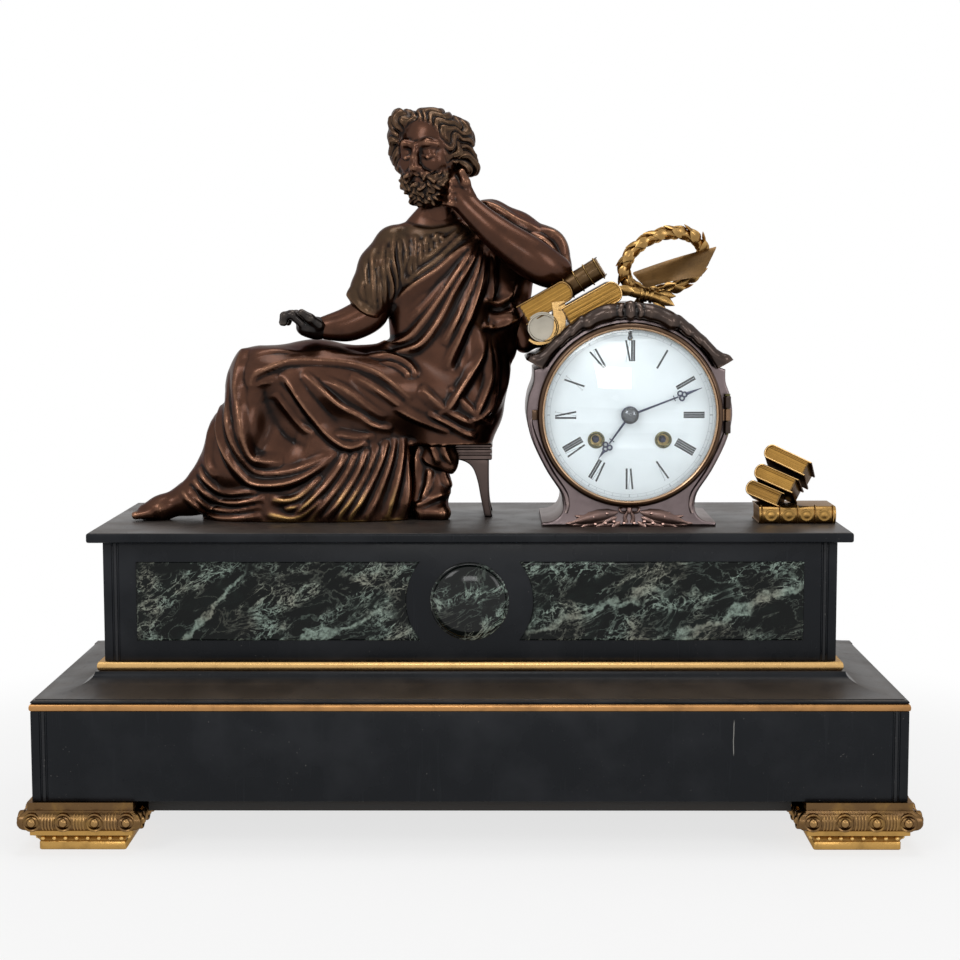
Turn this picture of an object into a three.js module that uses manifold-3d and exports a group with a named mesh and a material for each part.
// Figural mantel clock: a two-tier slate base with marble panels, a bronze drum case with an
// eight-day movement, and a seated philosopher leaning on books.
// Millimetres, +Z up, the dial faces -Y, and the origin is at the bottom centre of the feet.
import * as THREE from "three";
import { mergeVertices } from "three/addons/utils/BufferGeometryUtils.js";
import Module from "manifold-3d";

const wasm = await Module();
wasm.setup();

// Clearances
const FIT_GAP = 0.3;
const RUN_GAP = 0.4;
const JOIN_LAP = 0.5;
const CUT_PAST = 1;

// Feet
const FOOT_HEIGHT = 29;
const FOOT_WIDTH = 73.5;
const FOOT_PAD_WIDTH = 50;
const FOOT_FILLET_WIDTH = 59;
const FOOT_CAP_WIDTH = 61;
const FOOT_OVERHANG = 9;
const FOOT_PAD_HEIGHT = 5;
const FOOT_BEAD_HEIGHT = 4.2;
const FOOT_FILLET_HEIGHT = 3.5;
const FOOT_TORUS_HEIGHT = 11.3;
const FOOT_NECK_PROUD = 1;
const FOOT_ARRIS = 0.5;

// Slate base
const PLINTH_WIDTH = 500;
const PLINTH_DEPTH = 190;
const PLINTH_HEIGHT = 52.3;
const SLATE_THICKNESS = 12;
const BOARD_DROP = 8;
const BOARD_INSET = 10;
const LOWER_FILLET_HEIGHT = 4.2;
const LOWER_FILLET_PROUD = 0.8;
const CAVETTO_HEIGHT = 12.8;
const CAVETTO_LIP = 2;
const CAVETTO_LEDGE = 1;
const UPPER_FILLET_HEIGHT = 5.4;
const UPPER_FILLET_PROUD = 4;
const TIER_STEP = 36;
const BOX_HEIGHT = 70.5;
const TOP_SLAB_THICKNESS = 5.8;
const TOP_SLAB_OVERHANG = 8;
const FLUTE_WIDTH = 1.4;
const FLUTE_DEPTH = 1;
const FLUTE_PITCH = 3;

// Marble
const PANEL_HEIGHT = 46.6;
const PANEL_MARGIN = 19;
const PANEL_ARC_RADIUS = 37;
const PANEL_THICKNESS = 5;
const PANEL_PROUD = 1.4;
const PANEL_BEVEL = 1.6;
const BOSS_RADIUS = 23;
const BOSS_DOME = 6;

// Drum case
const DRUM_X = 94.3;
const CASE_FLOOR = 17.9;
const CASE_FRONT_Y = -36;
const CROWN_MARGIN = 2.5;
const SCROLL_REACH = 4;
const SCROLL_SWELL = 1.5;
const SCROLL_DROP = 14.6;
const SHOULDER_RISE = 26;
const SCROLL_CENTRE = 4;
const SHOULDER_SET = 5;
const NECK_SWEEP = 3;
const NECK_RISE = 10;
const NECK_INSET = 9.7;
const NECK_HEIGHT = 13.4;
const CASE_FOOT_FLARE = 12.8;
const CASE_FOOT_EDGE = 2.4;
const CANOPY_EAR_REACH = 3.7;
const CANOPY_EAR_TIP = 3;
const CANOPY_EAR_HEIGHT = 5.5;
const CANOPY_FOOT_RISE = 2;
const CANOPY_CREST = 8.9;
const CANOPY_LEAF = 10.1;
const CANOPY_LEAF_ANGLE = 53.4;
const CANOPY_HOLLOW = 7.7;
const CANOPY_HOLLOW_ANGLE = 39.4;
const CANOPY_BEND = 16;
const CANOPY_FRONT_REACH = 7;

// Bezel, glass, dial and back cover
const BEZEL_WALL = 2.6;
const BEZEL_DEPTH = 9.4;
const BEZEL_BAND = 3.2;
const BEZEL_LIP = 2.6;
const BEZEL_ROUNDING = 1.2;
const SIGHT_LIP = 1;
const CATCH_REACH = 3;
const CATCH_THICKNESS = 1.8;
const CATCH_LIFT = 0.6;
const DIAL_SEAT = 2.8;
const DIAL_THICKNESS = 2;
const DIAL_CENTRE_HOLE = 3.5;
const DIAL_REGULATOR_HOLE = 1.5;
const GLASS_THICKNESS = 1.2;
const GLASS_RISE = 7;
const HINGE_STANDOFF = 0.5;
const KNUCKLE_RADIUS = 2.2;
const KNUCKLE_LENGTH = 7;
const HINGE_STRAP = 2.4;
const HINGE_GRIP = 2;
const PIN_RADIUS = 0.8;
const PIN_HEAD_HEIGHT = 1.2;
const PIN_HEAD_RADIUS = 1.8;
const COVER_LAP = 3.5;
const COVER_THICKNESS = 2;
const COVER_RIM = 5;
const COVER_RIM_SLOPE = 2;
const COVER_RECESS = 0.8;
const COVER_KNOB_RADIUS = 6;
const COVER_KNOB_HEIGHT = 3;

// Movement plates
const PLATE_INSET = 5;
const PLATE_THICKNESS = 2;
const PLATE_SPACING = 40;
const BACK_PLATE_INSET = 4.2;
const PILLAR_RADIUS = 2.5;
const PILLAR_INSET = 5.2;
const PILLAR_ANGLES = [20, 160, 250, 290];
const ARBOR_RADIUS = 0.8;
const PIVOT_RADIUS = 0.6;
const PIVOT_PLAY = 0.35;
const CENTRE_RADIUS = 1.2;
const STUD_RADIUS = 0.9;
const STUD_REACH = 4.6;

// Trains
const BARREL_X = 19.7;
const BARREL_DROP = 14.7;
const BARREL_CLEARANCE = 0.98;
const BARREL_WALL = 1.5;
const BARREL_LENGTH = 20;
const TRAIN_MARGIN = 2.2;
const WHEEL_SPACE = 2.5;
const DRUM_SPACE = 2;
const PINION_OVERHANG = 0.5;
const SPRING_TURNS = 3;
const SPRING_STRIP = 0.8;
const WINDING_RADIUS = 2;
const WINDING_SQUARE = 2.6;
const WINDING_SINK = 0.6;
const WINDING_HOLE_RADIUS = 3.4;
const GREAT_TEETH = 60;
const CENTRE_PINION_TEETH = 10;
const CENTRE_TEETH = 72;
const TRAIN_PINION_TEETH = 6;
const THIRD_TEETH = 78;
const ESCAPE_TEETH = 42;
const ESCAPE_RADIUS = 8.7;
const ESCAPE_TOOTH_HEIGHT = 1.4;
const ESCAPE_TOOTH_LEAN = 0.2;
const THIRD_X = 14;
const THIRD_RISE = 12;
const ESCAPE_RISE = 22;
const ANCHOR_RISE = 34;
const PIN_WHEEL_TEETH = 48;
const FLY_PINION_TEETH = 8;
const FLY_DISTANCE = 13.7;
const FLY_HALF_WIDTH = 6;
const FLY_LENGTH = 14;
const FLY_THICKNESS = 0.8;
const FLY_SET = 6;
const STRIKE_ANGLE = 86;
const FLY_ANGLE = 120;
const STRIKE_PINS = 6;
const STRIKE_PIN_RADIUS = 0.6;
const STRIKE_PIN_INSET = 2.5;
const STRIKE_PIN_LENGTH = 2;
const WHEEL_THICKNESS = 1.5;
const GREAT_THICKNESS = 2.5;

// Motion work and hands
const MOTION_DISTANCE = 12;
const CANNON_TEETH = 14;
const MINUTE_TEETH = 42;
const MINUTE_PINION_TEETH = 10;
const HOUR_TEETH = 40;
const MINUTE_HAND_LENGTH = 45;
const HOUR_HAND_LENGTH = 31.5;
const HAND_THICKNESS = 0.8;
const HAND_SPACE = 0.9;
const HAND_LIFT = 2;
const HAND_STEM = 2;
const MINUTE_HUB_RADIUS = 4.6;
const HOUR_HUB_RADIUS = 5.2;
const CANNON_TUBE_RADIUS = 1.9;
const HOUR_PIPE_RADIUS = 3;
const MOTION_WHEEL_THICKNESS = 1;
const MINUTE_WHEEL_SET = 2.2;
const HOUR_WHEEL_SET = 4.2;
const CANNON_OVERHANG = 0.3;
const MINUTE_PINION_OVERHANG = 0.2;
const CENTRE_END_REACH = 5.2;
const NUT_RADIUS = 3.4;
const NUT_CREST_RADIUS = 2;
const NUT_REACH = 6.2;
const NUT_SLOPE = 0.8;
const NUT_SKIN = 0.7;
const MINUTES_SHOWN = 11.5;
const HOURS_SHOWN = 7;

// Pendulum, bell and regulator
const SUSPENSION_RISE = 38;
const SUSPENSION_PIN_RADIUS = 1;
const PENDULUM_LENGTH = 72;
const PENDULUM_ROD_WIDTH = 2;
const PENDULUM_ROD_THICKNESS = 1;
const PENDULUM_EYE_RADIUS = 2.6;
const PENDULUM_SET = 3;
const BOB_RADIUS = 11;
const BOB_THICKNESS = 7;
const PALLET_REACH = 8.2;
const PALLET_LIFT = 5.4;
const PALLET_WIDTH = 1.2;
const CRUTCH_DROP = 24;
const CRUTCH_SET = 1.5;
const CRUTCH_WIDTH = 1.8;
const CRUTCH_THICKNESS = 1;
const CRUTCH_BAR_HEIGHT = 2;
const PRONG_INNER = 1.7;
const PRONG_OUTER = 2.8;
const COCK_HALF_WIDTH = 8;
const COCK_WAIST = 3;
const COCK_THICKNESS = 1.4;
const REGULATOR_INSET = 3;
const REGULATOR_RADIUS = 1;
const REGULATOR_SQUARE = 1.4;
const REGULATOR_REACH = 4;
const BELL_RADIUS = 28;
const BELL_X = 14;
const BELL_DROP = 4;
const BELL_WALL = 1.5;
const BELL_DEPTH = 12;
const BELL_SET = 14;
const BELL_ROOM = 1.5;
const BELL_POST_RADIUS = 2;
const BELL_POST_SHOULDER = 3.5;
const BELL_POST_TIP = 1.5;
const HAMMER_X = -33;
const HAMMER_RISE = 20;
const HAMMER_RADIUS = 1.2;
const HAMMER_SET = 16;
const HAMMER_SHANK = 2;
const HAMMER_HEAD_LENGTH = 8;
const HAMMER_HEAD_DEPTH = 5;
const HAMMER_HEAD_HEIGHT = 6;
const HAMMER_TAIL_LENGTH = 7.5;
const HAMMER_TAIL_SPACE = 1;
const HAMMER_TAIL_THICKNESS = 1.3;

// Stool
const SEAT_LENGTH = 70;
const SEAT_RIGHT_X = 13;
const SEAT_FRONT_Y = 10;
const SEAT_DEPTH = 46;
const SEAT_HEIGHT = 45.5;
const SEAT_THICKNESS = 10;
const LEG_THICKNESS = 7;
const LEG_INSET = 2;
const LEG_TOE = 9;
const LEG_HEEL = 3;
const LEG_ROOT = 25;

// Books, wreath and manuscript
const BOOK_DEPTH = 38;
const BOOK_THICKNESS = 12;
const UPPER_BOOK_LENGTH = 48;
const LOWER_BOOK_LENGTH = 34;
const LOWER_BOOK_EXTRA = 2;
const WREATH_RADIUS = 21;
const WREATH_TUBE = 3.4;
const WREATH_LOBES = 14;
const SHEET_LENGTH = 48;
const SHEET_WIDTH = 18;
const SHEET_THICKNESS = 1.6;
const STACK_INSET = 18;
const STACK_Y = -8;
const STACK_BOOK_THICKNESS = 10.4;

// Levels worked out from the sizes above
const PLINTH_HALF = PLINTH_WIDTH / 2;
const PLINTH_FRONT = -PLINTH_DEPTH / 2;
const BACK_Y = PLINTH_DEPTH / 2;
const BACK_INNER_Y = BACK_Y - SLATE_THICKNESS;
const PLINTH_TOP = FOOT_HEIGHT + PLINTH_HEIGHT;
const CAVETTO_BOTTOM = PLINTH_TOP + LOWER_FILLET_HEIGHT;
const CAVETTO_TOP = CAVETTO_BOTTOM + CAVETTO_HEIGHT;
const BOX_BOTTOM = CAVETTO_TOP + UPPER_FILLET_HEIGHT;
const BOX_TOP = BOX_BOTTOM + BOX_HEIGHT;
const BOX_HALF = PLINTH_HALF - TIER_STEP;
const BOX_FRONT = PLINTH_FRONT + TIER_STEP;
const STAGE_Z = BOX_TOP + TOP_SLAB_THICKNESS;
const PANEL_Z = BOX_BOTTOM + BOX_HEIGHT / 2;
const BARREL_DISTANCE = Math.hypot(BARREL_X, BARREL_DROP);
const GREAT_REACH = (BARREL_DISTANCE * (GREAT_TEETH + 1)) / (GREAT_TEETH + CENTRE_PINION_TEETH);
const BARREL_RADIUS = 2 * BARREL_X - GREAT_REACH - BARREL_CLEARANCE;
const PLATE_RADIUS = BARREL_DISTANCE + GREAT_REACH + TRAIN_MARGIN;
const BACK_PLATE_RADIUS = PLATE_RADIUS - BACK_PLATE_INSET;
const PILLAR_CIRCLE = PLATE_RADIUS - PILLAR_INSET;
const REGULATOR_RISE = PLATE_RADIUS - REGULATOR_INSET;
const BORE_RADIUS = PLATE_RADIUS + FIT_GAP;
const DIAL_RADIUS = BORE_RADIUS + DIAL_SEAT;
const SIGHT_RADIUS = DIAL_RADIUS - SIGHT_LIP;
const BEZEL_BORE = DIAL_RADIUS + 2 * FIT_GAP;
const BEZEL_RADIUS = BEZEL_BORE + BEZEL_WALL;
const COVER_RADIUS = BORE_RADIUS + COVER_LAP;
const HINGE_REACH = BEZEL_RADIUS + KNUCKLE_RADIUS + HINGE_STANDOFF;
const CROWN_RADIUS = BEZEL_RADIUS + CROWN_MARGIN;
const CASE_HALF_WIDTH = CROWN_RADIUS + SCROLL_REACH;
const NECK_HALF = BORE_RADIUS - NECK_INSET;
const CASE_FOOT_HALF = NECK_HALF + CASE_FOOT_FLARE;
const DRUM_AXIS_HEIGHT = BORE_RADIUS + CASE_FLOOR;
const CANOPY_FOOT = SHOULDER_RISE + CANOPY_FOOT_RISE;
const CANOPY_EAR_HALF = CROWN_RADIUS + CANOPY_EAR_REACH;
const CANOPY_EAR_RISE = CANOPY_FOOT + CANOPY_EAR_HEIGHT;
const CANOPY_RISE = CROWN_RADIUS + CANOPY_CREST;
const DIAL_BACK_Y = CASE_FRONT_Y - FIT_GAP;
const DIAL_FRONT_Y = DIAL_BACK_Y - DIAL_THICKNESS;
const FRONT_PLATE_Y = CASE_FRONT_Y + PLATE_INSET;
const FRONT_PLATE_BACK = FRONT_PLATE_Y + PLATE_THICKNESS;
const BACK_PLATE_Y = FRONT_PLATE_BACK + PLATE_SPACING;
const BACK_PLATE_BACK = BACK_PLATE_Y + PLATE_THICKNESS;
const BELL_RIM_Y = BACK_PLATE_BACK + BELL_SET;
const BELL_TOP_Y = BELL_RIM_Y + BELL_DEPTH;
const BELL_POST_END = BELL_TOP_Y + BELL_POST_TIP;
const CASE_BACK_Y = BELL_POST_END + BELL_ROOM;
const PIVOT_HOLE = PIVOT_RADIUS + PIVOT_PLAY;
const WINDING_BORE = WINDING_RADIUS + RUN_GAP;

// Materials
const finish = (color, roughness, metalness) =>
  new THREE.MeshStandardMaterial({ color, roughness, metalness });
const SLATE = finish(0x14171c, 0.28, 0);
const MARBLE = finish(0x2a3a30, 0.22, 0);
const GILT = finish(0xb88a45, 0.4, 1);
const BRONZE = finish(0x4a2f22, 0.45, 0.9);
const PATINA = finish(0x5b3524, 0.5, 0.9);
const BRASS = finish(0xc9a45a, 0.35, 1);
const STEEL = finish(0x6c737c, 0.35, 1);
const BLUED_STEEL = finish(0x1d2438, 0.3, 1);
const BELL_METAL = finish(0xc8b489, 0.3, 1);
const ENAMEL = finish(0xe9edf2, 0.2, 0);
const CLEAR = finish(0xdfe8ea, 0.05, 0);
const OAK = finish(0x3b2a1c, 0.7, 0);

// Merge shared corners, drop slivers of no area and turn the faces outwards.
function tidy(geometry) {
  const bare = new THREE.BufferGeometry();
  bare.setAttribute("position", geometry.getAttribute("position").clone());
  if (geometry.index) bare.setIndex(geometry.index.clone());
  const merged = mergeVertices(bare, 1e-4);
  const place = merged.getAttribute("position");
  const index = merged.index.array;
  const kept = [];
  const [a, b, c] = [new THREE.Vector3(), new THREE.Vector3(), new THREE.Vector3()];
  let volume = 0;
  for (let i = 0; i < index.length; i += 3) {
    const [p, q, r] = [index[i], index[i + 1], index[i + 2]];
    if (p === q || q === r || r === p) continue;
    kept.push(p, q, r);
    a.fromBufferAttribute(place, p);
    b.fromBufferAttribute(place, q);
    c.fromBufferAttribute(place, r);
    volume += a.dot(b.cross(c));
  }
  merged.setIndex(volume < 0 ? kept.reverse() : kept);
  return merged;
}

function solidOf(geometry) {
  const mesh = tidy(geometry);
  const vertProperties = new Float32Array(mesh.getAttribute("position").array);
  const triVerts = new Uint32Array(mesh.index.array);
  return new wasm.Manifold(new wasm.Mesh({ numProp: 3, vertProperties, triVerts }));
}

function geometryOf(solid) {
  const mesh = solid.getMesh();
  const geometry = new THREE.BufferGeometry();
  geometry.setAttribute("position", new THREE.BufferAttribute(mesh.vertProperties, 3));
  geometry.setIndex(new THREE.BufferAttribute(mesh.triVerts, 1));
  return geometry;
}

const join = (...pieces) => geometryOf(pieces.map(solidOf).reduce((sum, piece) => sum.add(piece)));

const cut = (piece, ...tools) =>
  geometryOf(tools.map(solidOf).reduce((rest, tool) => rest.subtract(tool), solidOf(piece)));

function block(x0, x1, y0, y1, z0, z1) {
  const geometry = new THREE.BoxGeometry(x1 - x0, y1 - y0, z1 - z0);
  return geometry.translate((x0 + x1) / 2, (y0 + y1) / 2, (z0 + z1) / 2);
}

// The corners of an outline, without the doubles where its lines and arcs meet.
function corners(path, divisions) {
  const points = path.getPoints(divisions);
  return points.filter((point, i) => point.distanceTo(points[(i + 1) % points.length]) > 1e-5);
}

// A plan outline raised from z0 to z1, with its edges rounded by bevel.
function prismZ(shape, z0, z1, bevel = 0, curveSegments = 12) {
  const plan = new THREE.Shape(corners(shape, curveSegments));
  plan.holes = shape.holes.map((hole) => new THREE.Path(corners(hole, curveSegments)));
  const depth = z1 - z0 - 2 * bevel;
  const rounding = { bevelEnabled: bevel > 0, bevelThickness: bevel, bevelSize: bevel, bevelOffset: -bevel };
  const geometry = new THREE.ExtrudeGeometry(plan, { depth, bevelSegments: 2, ...rounding });
  return geometry.translate(0, 0, z0 + bevel);
}

// A front-view outline (x, z) carried from y0 back to y1.
function prismY(shape, y0, y1, bevel = 0, curveSegments = 12) {
  return prismZ(shape, -y1, -y0, bevel, curveSegments).rotateX(Math.PI / 2);
}

// A profile of [radius, y] points turned about the Y axis.
function turnedY(profile, segments = 32) {
  return new THREE.LatheGeometry(profile.map(([r, y]) => new THREE.Vector2(r, y)), segments);
}

const turnedZ = (profile, segments = 8) => turnedY(profile, segments).rotateX(Math.PI / 2);

const rod = (radius, y0, y1, segments = 12) =>
  turnedY([[0, y0], [radius, y0], [radius, y1], [0, y1]], segments);

const tubeY = (outer, inner, y0, y1, segments = 24) =>
  turnedY([[inner, y0], [outer, y0], [outer, y1], [inner, y1], [inner, y0]], segments);

const outline = (points) => new THREE.Shape(points.map(([x, z]) => new THREE.Vector2(x, z)));

const rectangle = (x0, x1, z0, z1) => outline([[x0, z0], [x1, z0], [x1, z1], [x0, z1]]);

function round(radius, x = 0, z = 0, sides = 12) {
  const points = Array.from({ length: sides }, (_, i) => {
    const angle = (i / sides) * Math.PI * 2;
    return new THREE.Vector2(x + radius * Math.cos(angle), z + radius * Math.sin(angle));
  });
  return new THREE.Shape(points);
}

const drilled = (shape, holes) => {
  shape.holes.push(...holes);
  return shape;
};

const mirrored = (shape) =>
  new THREE.Shape(corners(shape, 8).map((p) => new THREE.Vector2(-p.x, p.y)).reverse());

// Rings of equal length joined in order, closed at both ends about each end's centre.
function loft(rings) {
  const count = rings[0].length;
  const points = rings.flat();
  const faces = [];
  for (let i = 0; i + 1 < rings.length; i++) {
    for (let j = 0; j < count; j++) {
      const [a, b] = [i * count + j, i * count + ((j + 1) % count)];
      faces.push(a, b, b + count, a, b + count, a + count);
    }
  }
  for (const [ring, first, turn] of [[rings[0], 0, 1], [rings.at(-1), points.length - count, 0]]) {
    const centre = ring.reduce((sum, p) => sum.add(p), new THREE.Vector3()).divideScalar(count);
    const hub = points.push(centre) - 1;
    for (let j = 0; j < count; j++) {
      const edge = [first + j, first + ((j + 1) % count)];
      faces.push(hub, edge[turn], edge[1 - turn]);
    }
  }
  const geometry = new THREE.BufferGeometry().setFromPoints(points);
  geometry.setIndex(faces);
  return geometry;
}

// Square levels [width, z] stacked into a moulded block.
function squareLoft(levels) {
  const square = [[-1, -1], [1, -1], [1, 1], [-1, 1]];
  return loft(levels.map(([width, z]) => square.map(([x, y]) =>
    new THREE.Vector3((x * width) / 2, (y * width) / 2, z))));
}

// Rounded levels [z, x, y, halfX, halfY] stacked upwards, with vertical folds of a given depth.
function drapery(levels, folds, foldDepth, sides) {
  const squareness = 0.8;
  const bend = (value) => Math.sign(value) * Math.abs(value) ** squareness;
  return loft(levels.map(([z, x, y, halfX, halfY], level) => Array.from({ length: sides }, (_, j) => {
    const angle = (j / sides) * Math.PI * 2;
    const swell = 1 + foldDepth * (1 - level / levels.length) * Math.cos(folds * angle);
    const reachX = halfX * swell * bend(Math.cos(angle));
    const reachY = halfY * swell * bend(Math.sin(angle));
    return new THREE.Vector3(x + reachX, y + reachY, z);
  })));
}

// Oval sections [x, y, z, half height, half depth] carried along a smooth line with round ends.
function limb(stations, grow = 0, sides = 10, steps = 6) {
  const path = new THREE.CatmullRomCurve3(stations.map(([x, y, z]) => new THREE.Vector3(x, y, z)));
  const girth = new THREE.CatmullRomCurve3(stations.map(([, , , a, b]) => new THREE.Vector3(a, b, 0)));
  const across = new THREE.Vector3(0, 1, 0);
  const ring = (t, shrink, offset) => {
    const tangent = path.getTangent(t);
    const upright = new THREE.Vector3().crossVectors(across, tangent).normalize();
    const sideways = new THREE.Vector3().crossVectors(tangent, upright);
    const size = girth.getPoint(t).addScalar(grow);
    const centre = path.getPoint(t).addScaledVector(tangent, offset * size.x);
    return Array.from({ length: sides }, (_, j) => {
      const angle = (j / sides) * Math.PI * 2;
      return centre.clone()
        .addScaledVector(upright, size.x * shrink * Math.cos(angle))
        .addScaledVector(sideways, size.y * shrink * Math.sin(angle));
    });
  };
  const rounding = [0.35, 0.85];
  const cap = (t, way) => rounding.map((shrink) => ring(t, shrink, way * Math.sqrt(1 - shrink ** 2)));
  const middle = Array.from({ length: steps + 1 }, (_, i) => ring(i / steps, 1, 0));
  return loft([...cap(0, -1), ...middle, ...cap(1, 1).reverse()]);
}

function ellipsoid([x, y, z, rx, ry, rz], grow = 0) {
  const ball = new THREE.SphereGeometry(1, 10, 7);
  return ball.scale(rx + grow, ry + grow, rz + grow).translate(x, y, z);
}

// Gear outline with pointed teeth, slim enough to run free at the exact centre distance.
function gearShape(teeth, pitchRadius, phase = 0) {
  const module = (2 * pitchRadius) / teeth;
  const [tip, root] = [pitchRadius + 0.5 * module, pitchRadius - 1.1 * module];
  return outline(Array.from({ length: teeth * 2 }, (_, i) => {
    const angle = phase + (i * Math.PI) / teeth;
    const radius = i % 2 === 0 ? tip : root;
    return [radius * Math.cos(angle), radius * Math.sin(angle)];
  }));
}

function gear(teeth, pitchRadius, y0, y1, phase = 0, bore = 0) {
  const shape = gearShape(teeth, pitchRadius, phase);
  return prismY(bore > 0 ? drilled(shape, [round(bore)]) : shape, y0, y1);
}

// Pitch radii of a meshing pair at a given centre distance.
function pair(driverTeeth, drivenTeeth, distance) {
  const unit = distance / (driverTeeth + drivenTeeth);
  return [driverTeeth * unit, drivenTeeth * unit];
}

// Phases that set a tooth of the first wheel into a gap of the second along the line of centres.
function meshing(fromX, fromZ, toX, toZ, drivenTeeth) {
  const toothAngle = Math.atan2(toZ - fromZ, toX - fromX);
  return [toothAngle, toothAngle + Math.PI + Math.PI / drivenTeeth];
}

// An arbor with a thinner pivot at each end that runs in the two plates.
function pivotedArbor() {
  const [front, back] = [FRONT_PLATE_BACK + RUN_GAP, BACK_PLATE_Y - RUN_GAP];
  const [tipFront, tipBack] = [FRONT_PLATE_Y + RUN_GAP, BACK_PLATE_BACK - RUN_GAP];
  return turnedY([[0, tipFront], [PIVOT_RADIUS, tipFront], [PIVOT_RADIUS, front], [ARBOR_RADIUS, front],
    [ARBOR_RADIUS, back], [PIVOT_RADIUS, back], [PIVOT_RADIUS, tipBack], [0, tipBack]], 8);
}

const clock = new THREE.Group();

function add(parent, name, geometry, material, x = 0, y = 0, z = 0) {
  const mesh = new THREE.Mesh(tidy(geometry), material);
  mesh.name = name;
  mesh.position.set(x, y, z);
  parent.add(mesh);
}

// Feet: pad, beaded neck, fillet, bold torus and cap
function footSolid() {
  const neckTop = FOOT_PAD_HEIGHT + FOOT_BEAD_HEIGHT;
  const filletTop = neckTop + FOOT_FILLET_HEIGHT;
  const torusTop = filletTop + FOOT_TORUS_HEIGHT;
  const neckWidth = FOOT_PAD_WIDTH + 2 * FOOT_NECK_PROUD;
  const torus = [0, 0.15, 0.35, 0.55, 0.75, 0.9, 1].map((share) => [
    FOOT_FILLET_WIDTH + (FOOT_WIDTH - FOOT_FILLET_WIDTH) * Math.sqrt(1 - (2 * share - 1) ** 2),
    filletTop + share * FOOT_TORUS_HEIGHT,
  ]);
  return squareLoft([
    [FOOT_PAD_WIDTH, 0], [FOOT_PAD_WIDTH, FOOT_PAD_HEIGHT], [neckWidth, FOOT_PAD_HEIGHT + FOOT_ARRIS],
    [neckWidth, neckTop - FOOT_ARRIS], [FOOT_FILLET_WIDTH, neckTop], ...torus,
    [FOOT_CAP_WIDTH, torusTop + FOOT_ARRIS], [FOOT_CAP_WIDTH, FOOT_HEIGHT],
  ]);
}

function addFeet() {
  const x = PLINTH_HALF + FOOT_OVERHANG - FOOT_WIDTH / 2;
  const y = BACK_Y + FOOT_OVERHANG - FOOT_WIDTH / 2;
  for (const [end, wayY] of [["front", -1], ["rear", 1]]) {
    for (const [side, wayX] of [["left", -1], ["right", 1]]) {
      add(clock, `foot_${end}_${side}`, footSolid(), GILT, wayX * x, wayY * y, 0);
    }
  }
}

// The board under the plinth, cut away at its corners for the feet
function addBaseBoard() {
  const [halfX, halfY] = [PLINTH_HALF - BOARD_INSET, BACK_Y - BOARD_INSET];
  const notchX = PLINTH_HALF + FOOT_OVERHANG - FOOT_WIDTH - FIT_GAP;
  const notchY = BACK_Y + FOOT_OVERHANG - FOOT_WIDTH - FIT_GAP;
  const cross = outline([
    [-notchX, -halfY], [notchX, -halfY], [notchX, -notchY], [halfX, -notchY],
    [halfX, notchY], [notchX, notchY], [notchX, halfY], [-notchX, halfY],
    [-notchX, notchY], [-halfX, notchY], [-halfX, -notchY], [-notchX, -notchY],
  ]);
  add(clock, "base_board", prismZ(cross, FOOT_HEIGHT - BOARD_DROP, FOOT_HEIGHT), OAK);
}

// A front slab with upright flutes beside both ends
function flutedSlab(halfWidth, frontY, z0, z1) {
  const slab = block(-halfWidth, halfWidth, frontY, frontY + SLATE_THICKNESS, z0, z1);
  const flutes = [];
  for (const way of [-1, 1]) {
    for (const step of [1, 2]) {
      const x = way * (halfWidth - step * FLUTE_PITCH);
      flutes.push(block(x - FLUTE_WIDTH / 2, x + FLUTE_WIDTH / 2, frontY - CUT_PAST, frontY + FLUTE_DEPTH,
        z0 - CUT_PAST, z1 + CUT_PAST));
    }
  }
  return cut(slab, ...flutes);
}

function addSideSlabs(tier, halfWidth, frontY, z0, z1) {
  for (const [side, way] of [["left", -1], ["right", 1]]) {
    const edges = [way * halfWidth, way * (halfWidth - SLATE_THICKNESS)].sort((a, b) => a - b);
    const slab = block(...edges, frontY + SLATE_THICKNESS, BACK_INNER_Y, z0, z1);
    add(clock, `${tier}_${side}_slab`, slab, SLATE);
  }
}

function addPlinth() {
  add(clock, "plinth_front_slab", flutedSlab(PLINTH_HALF, PLINTH_FRONT, FOOT_HEIGHT, PLINTH_TOP), SLATE);
  addSideSlabs("plinth", PLINTH_HALF, PLINTH_FRONT, FOOT_HEIGHT, PLINTH_TOP);
}

// A gilt strip round the front and both ends, with a half-round edge
function giltFillet(halfWidth, frontY, width, z0, z1) {
  const [inner, innerFront] = [halfWidth - width, frontY + width];
  const strip = outline([
    [-halfWidth, BACK_INNER_Y], [-halfWidth, frontY], [halfWidth, frontY], [halfWidth, BACK_INNER_Y],
    [inner, BACK_INNER_Y], [inner, innerFront], [-inner, innerFront], [-inner, BACK_INNER_Y],
  ]);
  return prismZ(strip, z0, z1, (z1 - z0) * 0.4);
}

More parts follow.
